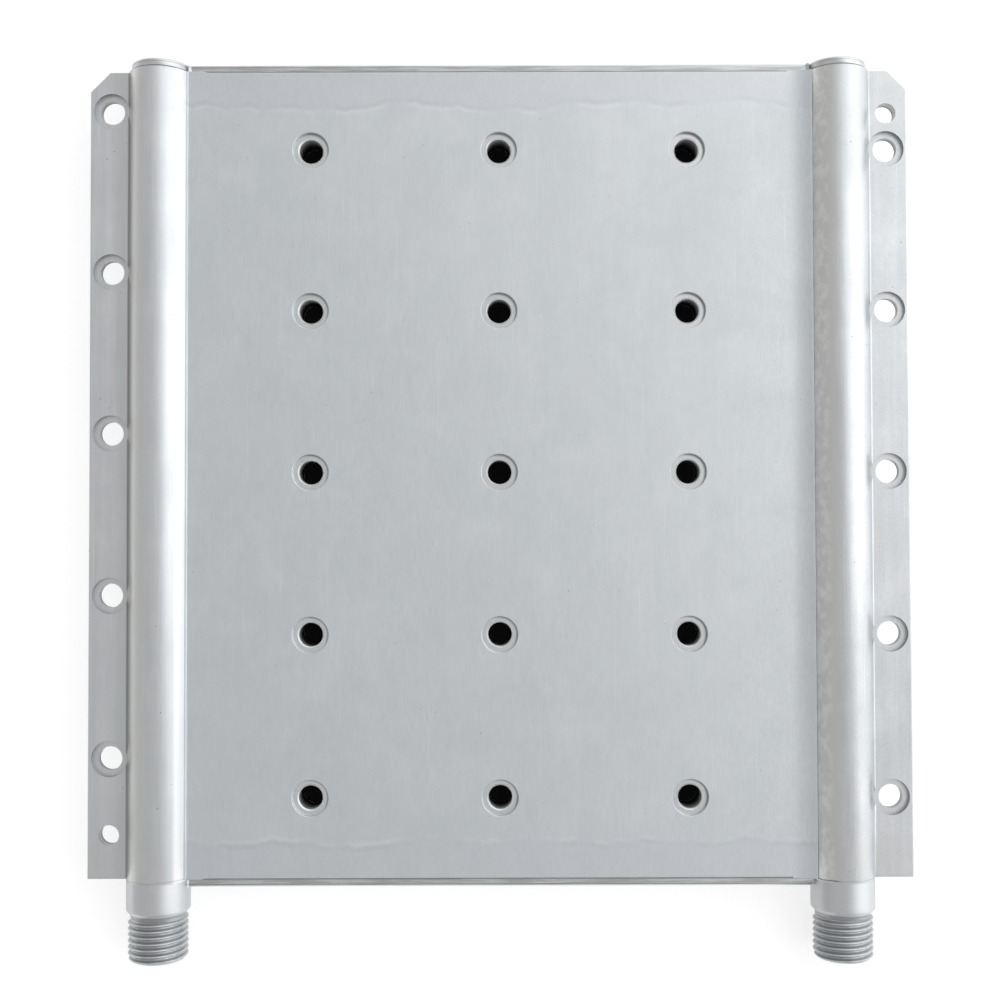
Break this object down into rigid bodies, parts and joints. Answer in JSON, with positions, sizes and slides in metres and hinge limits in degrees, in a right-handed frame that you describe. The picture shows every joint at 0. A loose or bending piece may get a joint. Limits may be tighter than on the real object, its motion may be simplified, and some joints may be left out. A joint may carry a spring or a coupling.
{
  "type": "liquid cooling cold plate",
  "caption": "Brazed aluminium cold plate: a flat drilled plate between two round header tubes with mounting ears, end caps and threaded ports.",
  "frame": {"origin": "on the back face of the plate, on the axis of the middle bolt hole", "axes": "+Z out of the counterbored front face, +Y along the headers towards their capped ends, +X from the left header to the right one as seen from the front"},
  "size_m": [0.1824, 0.1993, 0.014],
  "materials": {
    "sheets": "satin",
    "bars": "satin",
    "headers": "satin",
    "turned_ends": "satin",
    "fins": "satin",
    "bosses": "satin"
  },
  "bodies": {
    "root": {"cover_sheet": "sheets", "back_sheet": "sheets", "closing_bar_top": "bars", "closing_bar_bottom": "bars", "header_left": "headers", "header_right": "headers", "end_cap_left": "turned_ends", "end_cap_right": "turned_ends", "spigot_left": "turned_ends", "spigot_right": "turned_ends", "fin_pad": "fins", "boss_r1c1": "bosses", "boss_r1c2": "bosses", "boss_r1c3": "bosses", "boss_r2c1": "bosses", "boss_r2c2": "bosses", "boss_r2c3": "bosses", "boss_r3c1": "bosses", "boss_r3c2": "bosses", "boss_r3c3": "bosses", "boss_r4c1": "bosses", "boss_r4c2": "bosses", "boss_r4c3": "bosses", "boss_r5c1": "bosses", "boss_r5c2": "bosses", "boss_r5c3": "bosses"}
  },
  "joints": []
}
